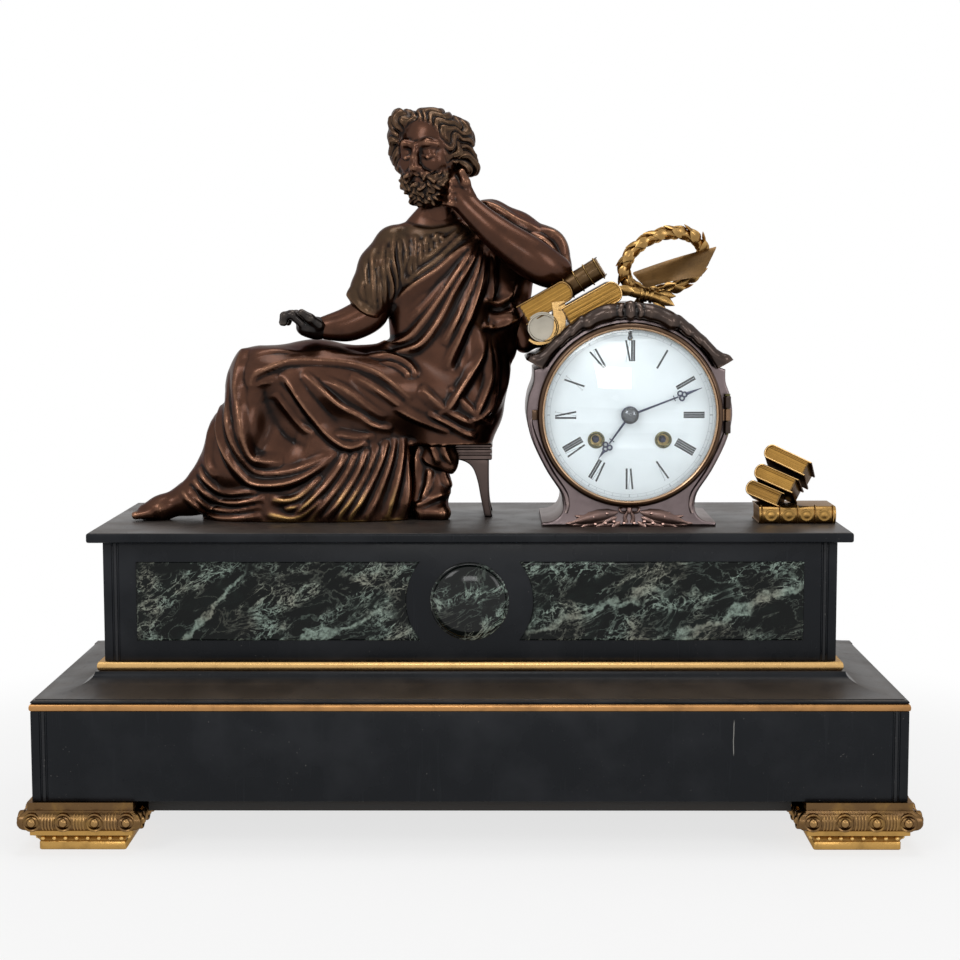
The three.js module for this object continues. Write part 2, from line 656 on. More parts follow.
// The hollowed slate tier between the two boxes, closed at the back slab
function addTierMouldings() {
  const lower = PLINTH_HALF + LOWER_FILLET_PROUD;
  const upper = BOX_HALF + UPPER_FILLET_PROUD;
  const width = SLATE_THICKNESS + LOWER_FILLET_PROUD;
  add(clock, "lower_gilt_fillet",
    giltFillet(lower, PLINTH_FRONT - LOWER_FILLET_PROUD, width, PLINTH_TOP, CAVETTO_BOTTOM), GILT);
  const reach = TIER_STEP - UPPER_FILLET_PROUD - CAVETTO_LEDGE;
  const hollow = [0, 0.2, 0.4, 0.6, 0.8, 1].map((share) => [
    reach * Math.sin((share * Math.PI) / 2),
    CAVETTO_BOTTOM + CAVETTO_LIP + (CAVETTO_HEIGHT - CAVETTO_LIP) * (1 - Math.cos((share * Math.PI) / 2)),
  ]);
  const rings = [[0, CAVETTO_BOTTOM], ...hollow].map(([inset, z]) => {
    const [half, front] = [PLINTH_HALF - inset, PLINTH_FRONT + inset];
    return [[-half, front], [half, front], [half, BACK_INNER_Y], [-half, BACK_INNER_Y]]
      .map(([x, y]) => new THREE.Vector3(x, y, z));
  });
  add(clock, "cavetto_slab", loft(rings), SLATE);
  add(clock, "upper_gilt_fillet",
    giltFillet(upper, BOX_FRONT - UPPER_FILLET_PROUD, SLATE_THICKNESS, CAVETTO_TOP, BOX_BOTTOM), GILT);
}

// Panel outline about the boss: square outer end, inner end hollowed round the boss
function panelShape(grow) {
  const [half, arc] = [PANEL_HEIGHT / 2 + grow, PANEL_ARC_RADIUS - grow];
  const outer = BOX_HALF - PANEL_MARGIN + grow;
  const swing = Math.asin(half / arc);
  const shape = new THREE.Shape();
  shape.moveTo(outer, -half);
  shape.lineTo(outer, half);
  shape.lineTo(arc * Math.cos(swing), half);
  shape.absarc(0, 0, arc, swing, -swing, true);
  shape.closePath();
  return shape;
}

function addBox() {
  const pocketY = BOX_FRONT + PANEL_THICKNESS - PANEL_PROUD;
  const raise = (geometry) => geometry.translate(0, 0, PANEL_Z);
  const pockets = [panelShape(FIT_GAP), mirrored(panelShape(FIT_GAP)), round(BOSS_RADIUS + FIT_GAP, 0, 0, 24)]
    .map((shape) => raise(prismY(shape, BOX_FRONT - CUT_PAST, pocketY, 0, 8)));
  const front = flutedSlab(BOX_HALF, BOX_FRONT, BOX_BOTTOM, BOX_TOP);
  add(clock, "box_front_slab", cut(front, ...pockets), SLATE);
  addSideSlabs("box", BOX_HALF, BOX_FRONT, BOX_BOTTOM, BOX_TOP);
  const panelFront = BOX_FRONT - PANEL_PROUD;
  const right = prismY(panelShape(0), panelFront, pocketY, PANEL_BEVEL, 8);
  add(clock, "marble_panel_right", right, MARBLE, 0, 0, PANEL_Z);
  const left = prismY(mirrored(panelShape(0)), panelFront, pocketY, PANEL_BEVEL, 8);
  add(clock, "marble_panel_left", left, MARBLE, 0, 0, PANEL_Z);
  const dome = [0, 0.25, 0.5, 0.75, 1].map((share) => {
    const angle = (share * Math.PI) / 2;
    return [BOSS_RADIUS * Math.cos(angle), panelFront - BOSS_DOME * Math.sin(angle)];
  });
  dome.at(-1)[0] = 0;
  const boss = turnedY([[0, pocketY], [BOSS_RADIUS, pocketY], ...dome], 24);
  add(clock, "marble_boss", boss, MARBLE, 0, 0, PANEL_Z);
}

// One slab closes both tiers behind, following the step of the hollowed moulding
function addBackSlab() {
  const shape = new THREE.Shape();
  shape.moveTo(-PLINTH_HALF, FOOT_HEIGHT);
  shape.lineTo(PLINTH_HALF, FOOT_HEIGHT);
  shape.lineTo(PLINTH_HALF, CAVETTO_BOTTOM + CAVETTO_LIP);
  shape.quadraticCurveTo(BOX_HALF, CAVETTO_BOTTOM + CAVETTO_LIP, BOX_HALF, BOX_BOTTOM);
  shape.lineTo(BOX_HALF, BOX_TOP);
  shape.lineTo(-BOX_HALF, BOX_TOP);
  shape.lineTo(-BOX_HALF, BOX_BOTTOM);
  shape.quadraticCurveTo(-BOX_HALF, CAVETTO_BOTTOM + CAVETTO_LIP, -PLINTH_HALF, CAVETTO_BOTTOM + CAVETTO_LIP);
  shape.closePath();
  add(clock, "back_slab", prismY(shape, BACK_INNER_Y, BACK_Y), SLATE);
}

function addTopSlab() {
  const half = BOX_HALF + TOP_SLAB_OVERHANG;
  const plan = rectangle(-half, half, BOX_FRONT - TOP_SLAB_OVERHANG, BACK_Y);
  add(clock, "top_slab", prismZ(plan, BOX_TOP, STAGE_Z, TOP_SLAB_THICKNESS * 0.35), SLATE);
}

// Drum group: x and z are measured from the dial centre
const drum = new THREE.Group();
drum.position.set(DRUM_X, 0, STAGE_Z + DRUM_AXIS_HEIGHT);
clock.add(drum);

function caseShape() {
  const bottom = -DRUM_AXIS_HEIGHT;
  const neckZ = bottom + NECK_HEIGHT;
  const shoulder = Math.asin((SHOULDER_RISE + CANOPY_FOOT_RISE / 2) / CROWN_RADIUS);
  const half = new THREE.Shape();
  half.moveTo(0, bottom);
  half.lineTo(CASE_FOOT_HALF, bottom);
  half.lineTo(CASE_FOOT_HALF, bottom + CASE_FOOT_EDGE);
  half.quadraticCurveTo(NECK_HALF, bottom + CASE_FOOT_EDGE, NECK_HALF, neckZ);
  half.quadraticCurveTo(NECK_HALF + NECK_SWEEP, neckZ + NECK_RISE, CASE_HALF_WIDTH, -SCROLL_DROP);
  half.quadraticCurveTo(CASE_HALF_WIDTH + SCROLL_SWELL, SCROLL_CENTRE, CASE_HALF_WIDTH - SHOULDER_SET,
    SHOULDER_RISE);
  half.absarc(0, 0, CROWN_RADIUS, shoulder, Math.PI / 2);
  const right = half.getPoints(7);
  const left = right.slice(1, -1).reverse().map((p) => new THREE.Vector2(-p.x, p.y));
  return new THREE.Shape([...right, ...left]);
}

// A point at a radius from the dial centre, with its angle in degrees above the right-hand level
function polar(radius, degrees) {
  const angle = THREE.MathUtils.degToRad(degrees);
  return [radius * Math.cos(angle), radius * Math.sin(angle)];
}

// A crescent over the crown with an ear at each end and a leaf-edged back
function canopyShape(grow = 0) {
  const inner = CROWN_RADIUS + FIT_GAP;
  const swing = Math.asin(CANOPY_FOOT / inner);
  const shape = new THREE.Shape();
  shape.absarc(0, 0, inner, Math.PI - swing, swing, true);
  const ear = [CANOPY_EAR_HALF + grow, CANOPY_EAR_RISE + grow];
  const hollow = polar(CROWN_RADIUS + CANOPY_HOLLOW + grow, CANOPY_HOLLOW_ANGLE);
  const leaf = polar(CROWN_RADIUS + CANOPY_LEAF + grow, CANOPY_LEAF_ANGLE);
  const top = CANOPY_RISE + grow;
  const [footX, footZ] = [CANOPY_EAR_HALF - CANOPY_EAR_TIP + grow, CANOPY_FOOT - grow];
  const bend = leaf[0] - CANOPY_BEND;
  shape.lineTo(footX, footZ);
  shape.lineTo(...ear);
  shape.quadraticCurveTo(...hollow, ...leaf);
  shape.quadraticCurveTo(bend, top, 0, top);
  shape.quadraticCurveTo(-bend, top, -leaf[0], leaf[1]);
  shape.quadraticCurveTo(-hollow[0], hollow[1], -ear[0], ear[1]);
  shape.lineTo(-footX, footZ);
  shape.closePath();
  return shape;
}

// Hinge pieces on an upright axis: the middle knuckle swings, the outer two stay
function knuckle(z0, z1) {
  const bore = PIN_RADIUS + RUN_GAP;
  return turnedZ([[bore, z0], [KNUCKLE_RADIUS, z0], [KNUCKLE_RADIUS, z1], [bore, z1], [bore, z0]]);
}

function drumHinge(y, faceY, leafX) {
  const half = KNUCKLE_LENGTH / 2;
  const outer = half + RUN_GAP + KNUCKLE_LENGTH;
  const bore = PIN_RADIUS + RUN_GAP;
  const end = outer + CUT_PAST;
  const pinHole = turnedZ([[0, -end], [bore, -end], [bore, end], [0, end]]);
  const place = (geometry) => geometry.translate(HINGE_REACH, y, 0);
  const [near, far] = [Math.min(faceY, y) - y, Math.max(faceY, y) - y];
  const stays = [[half + RUN_GAP, outer], [-outer, -half - RUN_GAP]].map(([z0, z1]) =>
    place(cut(join(knuckle(z0, z1), block(-KNUCKLE_RADIUS, KNUCKLE_RADIUS, near, far, z0, z1)), pinHole)));
  const strap = block(leafX - HINGE_REACH, 0, -HINGE_STRAP / 2, HINGE_STRAP / 2, -half, half);
  const leaf = place(cut(join(knuckle(-half, half), strap), pinHole));
  const headBase = outer + FIT_GAP;
  const headTop = headBase + PIN_HEAD_HEIGHT;
  const pin = place(turnedZ([[0, -end], [PIN_RADIUS, -end], [PIN_RADIUS, outer],
    [PIN_HEAD_RADIUS, headBase], [PIN_HEAD_RADIUS, headTop], [0, headTop]]));
  return { stays, leaf, pin };
}

function addDrumCase() {
  const frontHingeY = CASE_FRONT_Y - KNUCKLE_RADIUS - RUN_GAP;
  const backHingeY = CASE_BACK_Y + KNUCKLE_RADIUS + RUN_GAP;
  const front = drumHinge(frontHingeY, CASE_FRONT_Y + CUT_PAST, BEZEL_RADIUS - HINGE_GRIP);
  const back = drumHinge(backHingeY, CASE_BACK_Y - CUT_PAST, COVER_RADIUS - HINGE_GRIP);
  const body = prismY(drilled(caseShape(), [round(BORE_RADIUS, 0, 0, 40)]), CASE_FRONT_Y, CASE_BACK_Y);
  add(drum, "drum_case", join(body, ...front.stays, ...back.stays), BRONZE);
  const canopy = prismY(canopyShape(), CASE_FRONT_Y - CANOPY_FRONT_REACH, CASE_BACK_Y, 0, 6);
  add(drum, "drum_canopy", canopy, BRONZE);
  add(drum, "bezel_hinge_pin", front.pin, BRASS);
  add(drum, "back_cover_hinge_pin", back.pin, BRASS);

  addBezel(front.leaf);
  addBackCover(back.leaf);
}

// The bezel turns its rounded front over the glass, which sits behind the lip
function addBezel(leaf) {
  const ringBack = CASE_FRONT_Y - FIT_GAP;
  const ringFront = ringBack - BEZEL_DEPTH;
  const seat = ringFront + BEZEL_LIP;
  const crest = (BEZEL_RADIUS + SIGHT_RADIUS) / 2;
  const ring = turnedY([[BEZEL_BORE, ringBack], [BEZEL_RADIUS, ringBack],
    [BEZEL_RADIUS, ringBack - BEZEL_BAND],
    [BEZEL_RADIUS - BEZEL_ROUNDING / 2, ringFront + BEZEL_ROUNDING], [crest, ringFront],
    [SIGHT_RADIUS, ringFront + BEZEL_ROUNDING], [SIGHT_RADIUS, seat], [BEZEL_BORE, seat],
    [BEZEL_BORE, ringBack]], 36);
  const catchTop = ringBack - CATCH_LIFT;
  const catchTab = block(-BEZEL_RADIUS - CATCH_REACH, -BEZEL_RADIUS + JOIN_LAP, catchTop - CATCH_THICKNESS,
    catchTop, -CATCH_REACH, CATCH_REACH);
  add(drum, "bezel_ring", join(ring, leaf, catchTab), BRONZE);

  const glassEdge = BEZEL_BORE - FIT_GAP;
  const rim = seat + FIT_GAP;
  const domeFoot = SIGHT_RADIUS - FIT_GAP;
  const bow = (offset) => [0, 0.3, 0.6, 1].map((share) => [
    domeFoot * (1 - share), rim + offset - GLASS_RISE * Math.sin((share * Math.PI) / 2)]);
  const backBow = bow(GLASS_THICKNESS).reverse();
  const glass = [...backBow, [glassEdge, rim + GLASS_THICKNESS], [glassEdge, rim], ...bow(0)];
  add(drum, "bezel_glass", turnedY(glass, 24), CLEAR);

}

// A turned brass disc with a raised rim and a pull at its middle
function addBackCover(leaf) {
  const coverFront = CASE_BACK_Y + FIT_GAP;
  const coverBack = coverFront + COVER_THICKNESS;
  const recess = coverBack - COVER_RECESS;
  const rim = COVER_RADIUS - COVER_RIM;
  const knobTop = coverBack + COVER_KNOB_HEIGHT;
  const cover = turnedY([[0, coverFront], [COVER_RADIUS, coverFront], [COVER_RADIUS, coverBack],
    [rim, coverBack], [rim - COVER_RIM_SLOPE, recess], [COVER_KNOB_RADIUS, recess],
    [COVER_KNOB_RADIUS - JOIN_LAP, knobTop - JOIN_LAP], [0, knobTop]], 24);
  add(drum, "back_cover", join(cover, leaf), BRASS);
}

function addDial() {
  const holes = [round(DIAL_CENTRE_HOLE), round(WINDING_HOLE_RADIUS, BARREL_X, -BARREL_DROP),
    round(WINDING_HOLE_RADIUS, -BARREL_X, -BARREL_DROP), round(DIAL_REGULATOR_HOLE, 0, REGULATOR_RISE)];
  const disc = drilled(round(DIAL_RADIUS, 0, 0, 48), holes);
  add(drum, "dial", prismY(disc, DIAL_FRONT_Y, DIAL_BACK_Y), ENAMEL);
}

// Centres of the strike train and the motion work, worked out from the barrels
const from = ([x, z], [dx, dz]) => [x + dx, z + dz];
const PIN_WHEEL = from([-BARREL_X, -BARREL_DROP], polar(BARREL_DISTANCE, STRIKE_ANGLE));
const FLY = from(PIN_WHEEL, polar(FLY_DISTANCE, FLY_ANGLE));
const MINUTE_STUD = [-MOTION_DISTANCE * Math.SQRT1_2, MOTION_DISTANCE * Math.SQRT1_2];
const PIVOTS = [[THIRD_X, THIRD_RISE], [0, ESCAPE_RISE], PIN_WHEEL, FLY];
const WINDINGS = [[BARREL_X, -BARREL_DROP], [-BARREL_X, -BARREL_DROP]];

// Levels of the wheels behind the front plate
const GOING_GREAT_Y = FRONT_PLATE_BACK + WHEEL_SPACE;
const GOING_DRUM_Y = GOING_GREAT_Y + GREAT_THICKNESS;
const DRUM_END_Y = GOING_DRUM_Y + BARREL_LENGTH;
const STRIKE_GREAT_Y = DRUM_END_Y - GREAT_THICKNESS;
const CENTRE_WHEEL_Y = DRUM_END_Y + DRUM_SPACE;
const THIRD_WHEEL_Y = CENTRE_WHEEL_Y + WHEEL_THICKNESS + WHEEL_SPACE;
const ESCAPE_WHEEL_Y = THIRD_WHEEL_Y + WHEEL_THICKNESS + WHEEL_SPACE;
const CRUTCH_Y = BACK_PLATE_BACK + CRUTCH_SET;
const PENDULUM_Y = CRUTCH_Y + PENDULUM_SET;
const HAMMER_Y = BACK_PLATE_BACK + HAMMER_SET;

function addPlates() {
  const shared = [
    ...PIVOTS.map(([x, z]) => round(PIVOT_HOLE, x, z, 8)),
    ...WINDINGS.map(([x, z]) => round(WINDING_BORE, x, z)),
    round(ARBOR_RADIUS + RUN_GAP, 0, ANCHOR_RISE, 8),
    round(CENTRE_RADIUS + RUN_GAP),
  ];
  const regulatorBore = round(REGULATOR_RADIUS + RUN_GAP, 0, REGULATOR_RISE, 8);
  const frontFace = drilled(round(PLATE_RADIUS, 0, 0, 32), [...shared, regulatorBore]);
  const pillars = PILLAR_ANGLES.map((degrees) => {
    const [x, z] = polar(PILLAR_CIRCLE, degrees);
    return rod(PILLAR_RADIUS, FRONT_PLATE_BACK - JOIN_LAP, BACK_PLATE_Y, 8).translate(x, 0, z);
  });
  const stud = rod(STUD_RADIUS, FRONT_PLATE_Y - STUD_REACH, FRONT_PLATE_Y + JOIN_LAP, 8);
  stud.translate(MINUTE_STUD[0], 0, MINUTE_STUD[1]);
  const frontPlate = prismY(frontFace, FRONT_PLATE_Y, FRONT_PLATE_BACK);
  add(drum, "front_plate", join(frontPlate, ...pillars, stud), BRASS);

  const hammerBore = round(HAMMER_RADIUS + RUN_GAP, HAMMER_X, HAMMER_RISE, 8);
  const backFace = drilled(round(BACK_PLATE_RADIUS, 0, 0, 32), [...shared, hammerBore]);
  const postFoot = BACK_PLATE_Y + JOIN_LAP;
  const shoulder = BELL_TOP_Y - BELL_WALL - FIT_GAP;
  const post = turnedY([[0, postFoot], [BELL_POST_SHOULDER, postFoot], [BELL_POST_SHOULDER, shoulder],
    [BELL_POST_RADIUS, shoulder], [BELL_POST_RADIUS, BELL_POST_END], [0, BELL_POST_END]], 12);
  post.translate(BELL_X, 0, -BELL_DROP);
  add(drum, "back_plate", join(prismY(backFace, BACK_PLATE_Y, BACK_PLATE_BACK), post), BRASS);
}

// A barrel: capped drum with a toothed great wheel at one end
function barrel(greatY, drumY0, drumY1, phase, pitchRadius) {
  const inner = BARREL_RADIUS - BARREL_WALL;
  const drumShell = turnedY([[WINDING_BORE, drumY0], [BARREL_RADIUS, drumY0], [BARREL_RADIUS, drumY1],
    [WINDING_BORE, drumY1], [WINDING_BORE, drumY1 - BARREL_WALL], [inner, drumY1 - BARREL_WALL],
    [inner, drumY0 + BARREL_WALL], [WINDING_BORE, drumY0 + BARREL_WALL], [WINDING_BORE, drumY0]], 24);
  const great = gear(GREAT_TEETH, pitchRadius, greatY, greatY + GREAT_THICKNESS, phase, WINDING_BORE);
  return join(drumShell, great);
}

// A coiled mainspring strip between the winding arbor and the barrel wall
function mainspring(y0, y1) {
  const stepsPerTurn = 14;
  const steps = SPRING_TURNS * stepsPerTurn;
  const first = WINDING_RADIUS + RUN_GAP + 2 * SPRING_STRIP;
  const last = BARREL_RADIUS - BARREL_WALL - FIT_GAP - SPRING_STRIP;
  const coil = (extra) => Array.from({ length: steps + 1 }, (_, i) =>
    polar(first + ((last - first) * i) / steps + extra, (i / stepsPerTurn) * 360));
  return prismY(outline([...coil(SPRING_STRIP), ...coil(0).reverse()]), y0, y1);
}

function windingArbor() {
  const half = WINDING_SQUARE / 2;
  const shoulder = FRONT_PLATE_Y - CUT_PAST;
  const square = block(-half, half, DIAL_FRONT_Y + WINDING_SINK, shoulder, -half, half);
  return join(rod(WINDING_RADIUS, shoulder - JOIN_LAP, BACK_PLATE_BACK, 16), square);
}

function addTrains() {
  const [greatRadius, centrePinionRadius] = pair(GREAT_TEETH, CENTRE_PINION_TEETH, BARREL_DISTANCE);
  const [greatPhase, centrePinionPhase] = meshing(BARREL_X, -BARREL_DROP, 0, 0, CENTRE_PINION_TEETH);
  const springInset = BARREL_WALL + FIT_GAP;
  const place = [BARREL_X, 0, -BARREL_DROP];
  const goingBarrel = barrel(GOING_GREAT_Y, GOING_DRUM_Y, DRUM_END_Y, greatPhase, greatRadius);
  add(drum, "going_barrel", goingBarrel, BRASS, ...place);
  const goingSpring = mainspring(GOING_DRUM_Y + springInset, DRUM_END_Y - springInset);
  add(drum, "going_mainspring", goingSpring, STEEL, ...place);
  add(drum, "going_arbor", windingArbor(), STEEL, ...place);

  const thirdDistance = Math.hypot(THIRD_X, THIRD_RISE);
  const [centreRadius, thirdPinionRadius] = pair(CENTRE_TEETH, TRAIN_PINION_TEETH, thirdDistance);
  const [centrePhase, thirdPinionPhase] = meshing(0, 0, THIRD_X, THIRD_RISE, TRAIN_PINION_TEETH);
  const centreArbor = rod(CENTRE_RADIUS, DIAL_FRONT_Y - CENTRE_END_REACH, BACK_PLATE_BACK, 12);
  const centrePinion = gear(CENTRE_PINION_TEETH, centrePinionRadius, GOING_GREAT_Y - PINION_OVERHANG,
    GOING_DRUM_Y + PINION_OVERHANG, centrePinionPhase);
  const centreWheel = gear(CENTRE_TEETH, centreRadius, CENTRE_WHEEL_Y, CENTRE_WHEEL_Y + WHEEL_THICKNESS,
    centrePhase);
  add(drum, "centre_wheel", join(centreArbor, centrePinion, centreWheel), BRASS);

  const escapeDistance = Math.hypot(THIRD_X, ESCAPE_RISE - THIRD_RISE);
  const [thirdRadius, escapePinionRadius] = pair(THIRD_TEETH, TRAIN_PINION_TEETH, escapeDistance);
  const [thirdPhase, escapePinionPhase] = meshing(THIRD_X, THIRD_RISE, 0, ESCAPE_RISE, TRAIN_PINION_TEETH);
  const thirdPinion = gear(TRAIN_PINION_TEETH, thirdPinionRadius, CENTRE_WHEEL_Y - PINION_OVERHANG,
    CENTRE_WHEEL_Y + WHEEL_THICKNESS + PINION_OVERHANG, thirdPinionPhase);
  const thirdWheel = gear(THIRD_TEETH, thirdRadius, THIRD_WHEEL_Y, THIRD_WHEEL_Y + WHEEL_THICKNESS,
    thirdPhase);
  add(drum, "third_wheel", join(pivotedArbor(), thirdPinion, thirdWheel), BRASS, THIRD_X, 0, THIRD_RISE);

  const pitch = 360 / ESCAPE_TEETH;
  const ratchet = Array.from({ length: ESCAPE_TEETH }, (_, i) => [
    polar(ESCAPE_RADIUS, 90 - i * pitch),
    polar(ESCAPE_RADIUS - ESCAPE_TOOTH_HEIGHT, 90 - (i + ESCAPE_TOOTH_LEAN) * pitch),
  ]).flat();
  const escapeWheel = prismY(outline(ratchet), ESCAPE_WHEEL_Y, ESCAPE_WHEEL_Y + WHEEL_THICKNESS);
  const escapePinion = gear(TRAIN_PINION_TEETH, escapePinionRadius, THIRD_WHEEL_Y - PINION_OVERHANG,
    THIRD_WHEEL_Y + WHEEL_THICKNESS + PINION_OVERHANG, escapePinionPhase);
  add(drum, "escape_wheel", join(pivotedArbor(), escapeWheel, escapePinion), BRASS, 0, 0, ESCAPE_RISE);
  addStrikeTrain(greatRadius, centrePinionRadius, springInset);
}

function addStrikeTrain(greatRadius, pinionRadius, springInset) {
  const [greatPhase, pinionPhase] = meshing(-BARREL_X, -BARREL_DROP, ...PIN_WHEEL, CENTRE_PINION_TEETH);
  const place = [-BARREL_X, 0, -BARREL_DROP];
  const drumFront = GOING_DRUM_Y + JOIN_LAP;
  const drumBack = STRIKE_GREAT_Y + JOIN_LAP;
  const strikeBarrel = barrel(STRIKE_GREAT_Y, drumFront, drumBack, greatPhase, greatRadius);
  add(drum, "strike_barrel", strikeBarrel, BRASS, ...place);
  const strikeSpring = mainspring(drumFront + springInset, drumBack - springInset);
  add(drum, "strike_mainspring", strikeSpring, STEEL, ...place);
  add(drum, "strike_arbor", windingArbor(), STEEL, ...place);

  const [wheelRadius, flyPinionRadius] = pair(PIN_WHEEL_TEETH, FLY_PINION_TEETH, FLY_DISTANCE);
  const [wheelPhase, flyPhase] = meshing(...PIN_WHEEL, ...FLY, FLY_PINION_TEETH);
  const pinion = gear(CENTRE_PINION_TEETH, pinionRadius, STRIKE_GREAT_Y - PINION_OVERHANG,
    DRUM_END_Y + PINION_OVERHANG, pinionPhase);
  const wheelBack = THIRD_WHEEL_Y + WHEEL_THICKNESS;
  const wheel = gear(PIN_WHEEL_TEETH, wheelRadius, THIRD_WHEEL_Y, wheelBack, wheelPhase);
  const pins = Array.from({ length: STRIKE_PINS }, (_, i) => {
    const [x, z] = polar(wheelRadius - STRIKE_PIN_INSET, (i * 360) / STRIKE_PINS);
    return rod(STRIKE_PIN_RADIUS, wheelBack - JOIN_LAP, wheelBack + STRIKE_PIN_LENGTH, 4).translate(x, 0, z);
  });
  const pinWheel = join(pivotedArbor(), pinion, wheel, ...pins);
  add(drum, "strike_pin_wheel", pinWheel, BRASS, PIN_WHEEL[0], 0, PIN_WHEEL[1]);
  const flyPinion = gear(FLY_PINION_TEETH, flyPinionRadius, THIRD_WHEEL_Y - PINION_OVERHANG,
    wheelBack + PINION_OVERHANG, flyPhase);
  const vaneFront = FRONT_PLATE_BACK + FLY_SET;
  const vane = block(-FLY_HALF_WIDTH, FLY_HALF_WIDTH, vaneFront, vaneFront + FLY_LENGTH,
    -FLY_THICKNESS / 2, FLY_THICKNESS / 2);
  add(drum, "strike_fly", join(pivotedArbor(), flyPinion, vane), STEEL, FLY[0], 0, FLY[1]);
}

// Anchor with two pallets clear of the escape teeth, its long arbor and the crutch
function addAnchor() {
  const tip = PALLET_LIFT - (ANCHOR_RISE - ESCAPE_RISE);
  const [inner, outer] = [PALLET_REACH, PALLET_REACH + PALLET_WIDTH];
  const collar = 1.5 * ARBOR_RADIUS;
  const legs = outline([[-outer, tip], [-outer, -collar], [-collar, 2 * collar], [collar, 2 * collar],
    [outer, -collar], [outer, tip], [inner, tip], [inner, -2 * collar], [0, -collar],
    [-inner, -2 * collar], [-inner, tip]]);
  const pallets = prismY(legs, ESCAPE_WHEEL_Y, ESCAPE_WHEEL_Y + WHEEL_THICKNESS);
  const crutchBack = CRUTCH_Y + CRUTCH_THICKNESS;
  const arbor = rod(ARBOR_RADIUS, FRONT_PLATE_Y + RUN_GAP, crutchBack, 8);
  const stem = block(-CRUTCH_WIDTH / 2, CRUTCH_WIDTH / 2, CRUTCH_Y, crutchBack, -CRUTCH_DROP, 0);
  const [barBottom, barTop] = [-CRUTCH_DROP - CRUTCH_BAR_HEIGHT + JOIN_LAP, -CRUTCH_DROP + JOIN_LAP];
  const bar = block(-PRONG_OUTER, PRONG_OUTER, CRUTCH_Y, crutchBack, barBottom, barTop);
  const prongBack = PENDULUM_Y + 2 * PENDULUM_ROD_THICKNESS;
  const prong = (x0, x1) => block(x0, x1, CRUTCH_Y, prongBack, barBottom, barTop);
  const fork = [prong(-PRONG_OUTER, -PRONG_INNER), prong(PRONG_INNER, PRONG_OUTER)];
  add(drum, "anchor", join(pallets, arbor, stem, bar, ...fork), STEEL, 0, 0, ANCHOR_RISE);
}

function addPendulum() {
  const eyeBore = SUSPENSION_PIN_RADIUS + RUN_GAP;
  const eye = drilled(round(PENDULUM_EYE_RADIUS), [round(eyeBore, 0, 0, 10)]);
  const rodBack = PENDULUM_Y + PENDULUM_ROD_THICKNESS;
  const rodTop = -(PENDULUM_EYE_RADIUS + eyeBore) / 2;
  const rodBar = block(-PENDULUM_ROD_WIDTH / 2, PENDULUM_ROD_WIDTH / 2, PENDULUM_Y, rodBack,
    -PENDULUM_LENGTH, rodTop);
  const half = BOB_THICKNESS / 2;
  const middle = (PENDULUM_Y + rodBack) / 2;
  const lens = [[0, 1], [0.55, 0.8], [1, 0]];
  const bobProfile = [...lens.map(([r, y]) => [r * BOB_RADIUS, middle - y * half]),
    ...lens.slice(0, 2).reverse().map(([r, y]) => [r * BOB_RADIUS, middle + y * half])];
  const bob = turnedY(bobProfile, 32).translate(0, 0, -PENDULUM_LENGTH);
  const hook = prismY(eye, PENDULUM_Y, rodBack);
  add(drum, "pendulum", join(hook, rodBar, bob), BRASS, 0, 0, SUSPENSION_RISE);
}

// The cock carries the suspension pin and the rear end of the regulator arbor
function addSuspension() {
  const back = BACK_PLATE_BACK;
  const bracketBack = back + COCK_THICKNESS;
  const waistZ = SUSPENSION_RISE - 1.5 * SUSPENSION_PIN_RADIUS;
  const footZ = SUSPENSION_RISE - COCK_WAIST;
  const shoulderZ = SUSPENSION_RISE + SUSPENSION_PIN_RADIUS;
  const bore = REGULATOR_RADIUS + RUN_GAP;
  const topZ = REGULATOR_RISE + bore + CRUTCH_THICKNESS;
  const face = outline([[-COCK_HALF_WIDTH, footZ], [-COCK_WAIST, waistZ], [COCK_WAIST, waistZ],
    [COCK_HALF_WIDTH, footZ], [COCK_HALF_WIDTH, shoulderZ], [COCK_WAIST, topZ], [-COCK_WAIST, topZ],
    [-COCK_HALF_WIDTH, shoulderZ]]);
  const bracket = prismY(drilled(face, [round(bore, 0, REGULATOR_RISE, 8)]), back, bracketBack);
  const pinBack = PENDULUM_Y + 2 * PENDULUM_ROD_THICKNESS;
  const pin = rod(SUSPENSION_PIN_RADIUS, bracketBack - JOIN_LAP, pinBack, 10);
  add(drum, "suspension_cock", join(bracket, pin.translate(0, 0, SUSPENSION_RISE)), BRASS);
  const half = REGULATOR_SQUARE / 2;
  const shoulderY = DIAL_BACK_Y + CUT_PAST;
  const square = block(-half, half, DIAL_FRONT_Y - HAND_THICKNESS, shoulderY + JOIN_LAP, -half, half);
  const arbor = join(rod(REGULATOR_RADIUS, shoulderY, back + REGULATOR_REACH, 10), square);
  add(drum, "regulator_arbor", arbor, STEEL, 0, 0, REGULATOR_RISE);
}

